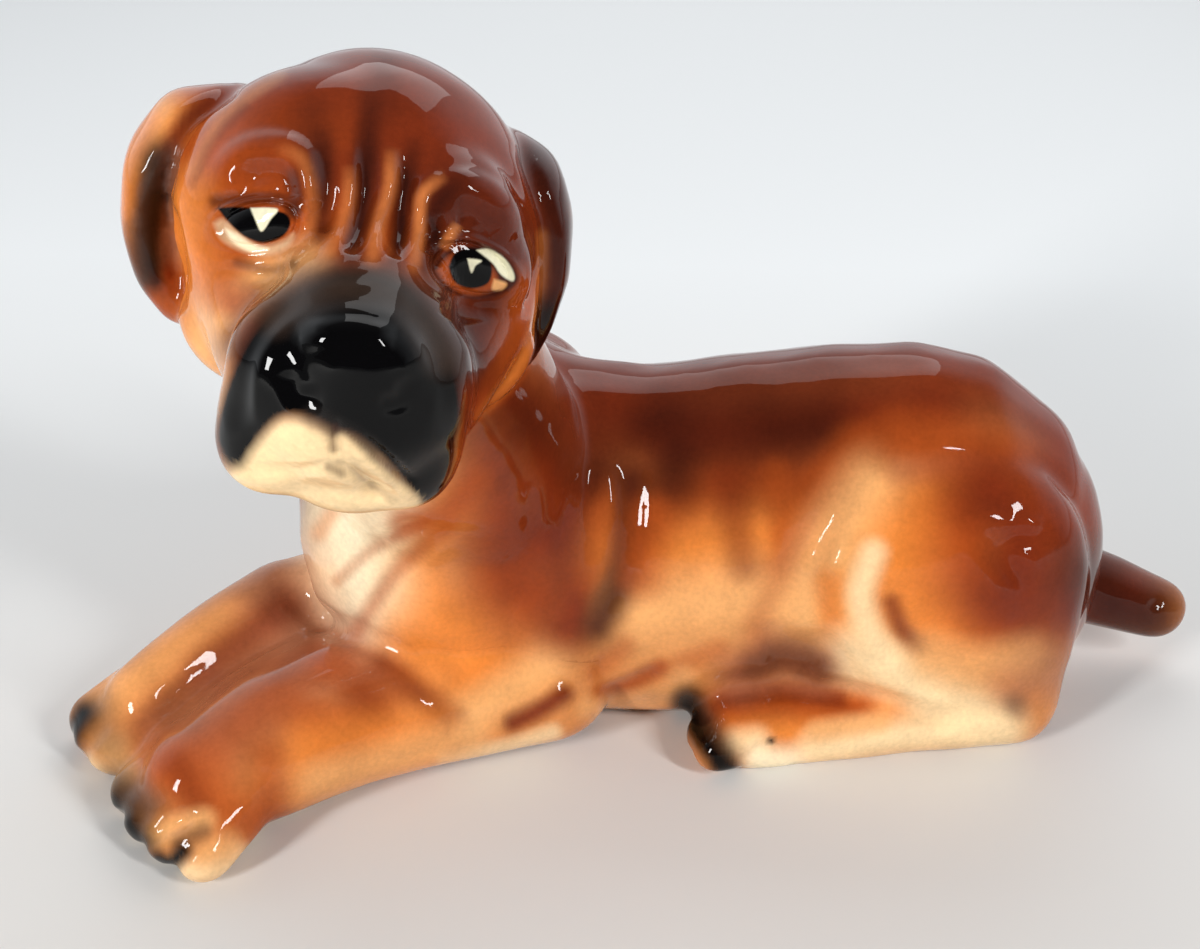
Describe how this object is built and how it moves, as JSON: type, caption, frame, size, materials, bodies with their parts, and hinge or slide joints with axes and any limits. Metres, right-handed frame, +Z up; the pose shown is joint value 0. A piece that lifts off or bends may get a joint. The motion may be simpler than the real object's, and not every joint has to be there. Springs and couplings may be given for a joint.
{
  "type": "dog figurine",
  "caption": "Glazed ceramic figurine of a lying puppy with its head turned to its side, built as luted slip castings: trunk, head, ears, legs and tail",
  "frame": {"origin": "middle of the figure's bounding box on the surface that it stands on", "axes": "+X runs from the forepaws to the tail, -Y is the dog's left side and the way its face looks, +Z is up"},
  "size_m": [0.1606, 0.0899, 0.0975],
  "materials": {
    "glaze_body": "glossy clear glaze over airbrushed red-brown and tan",
    "glaze_head": "glossy clear glaze over airbrushed red-brown, with a black muzzle, cream lips and painted eyes",
    "glaze_leg": "glossy clear glaze over airbrushed tan, with black claws and cream toes",
    "glaze_ear": "glossy clear glaze over airbrushed dark brown and black"
  },
  "bodies": {
    "root": {"torso": "glaze_body", "head": "glaze_head", "left_ear": "glaze_ear", "right_ear": "glaze_ear", "left_foreleg": "glaze_leg", "right_foreleg": "glaze_leg", "left_hind_leg": "glaze_leg", "right_hind_leg": "glaze_leg", "tail": "glaze_ear"}
  },
  "joints": []
}
